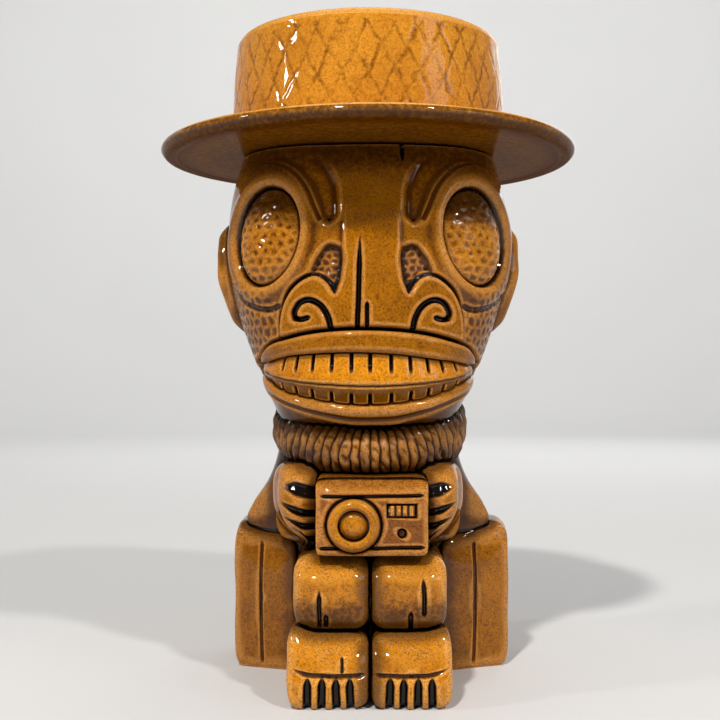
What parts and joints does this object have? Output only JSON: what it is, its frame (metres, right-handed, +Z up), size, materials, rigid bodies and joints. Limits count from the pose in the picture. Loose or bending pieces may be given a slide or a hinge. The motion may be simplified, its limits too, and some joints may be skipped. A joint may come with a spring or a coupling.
{
  "type": "tiki mug",
  "caption": "Hollow ceramic mug in the shape of a seated carved figure that holds a camera, with a flat-brimmed straw hat as a lift-off lid.",
  "frame": {"origin": "on the hat's axis, at the level of the surface that the mug stands on", "axes": "+Z up through the hat, -Y the way the face looks, +X to the right of someone who looks at the face"},
  "size_m": [0.132, 0.132, 0.2],
  "materials": {
    "amber_glaze": "glossy amber-brown glaze over a black-brown stain",
    "honey_glaze": "glossy honey glaze with darker speckles",
    "stained_glaze": "glossy glaze over heavy black-brown stain",
    "bare_clay": "matt unglazed clay with a wash of amber glaze"
  },
  "bodies": {
    "mug": {"mug_body": "amber_glaze", "left_eye": "amber_glaze", "right_eye": "amber_glaze", "left_ear": "amber_glaze", "right_ear": "amber_glaze", "upper_lip": "amber_glaze", "lower_lip": "amber_glaze", "upper_teeth": "honey_glaze", "lower_teeth": "honey_glaze", "camera_body": "honey_glaze", "camera_lens_ring": "honey_glaze", "camera_lens": "honey_glaze", "camera_viewfinder": "honey_glaze", "camera_knob": "stained_glaze", "garland_collar": "stained_glaze", "left_arm": "amber_glaze", "right_arm": "amber_glaze", "left_leg": "amber_glaze", "right_leg": "amber_glaze", "left_foot": "honey_glaze", "right_foot": "honey_glaze", "left_seat_block": "amber_glaze", "right_seat_block": "amber_glaze"},
    "seat_ring": {"hat_seat_ring": "bare_clay"},
    "hat": {"hat_crown": "honey_glaze", "hat_brim": "honey_glaze"}
  },
  "joints": [
    {"name": "hat_lift", "type": "slide", "parent": "mug", "child": "seat_ring", "axis": [0, 0, 1], "range_m": [0, 0.06]},
    {"name": "hat_turn", "type": "hinge", "parent": "seat_ring", "child": "hat", "pos_m": [0, 0, 0.1626], "axis": [0, 0, 1], "continuous": true}
  ]
}
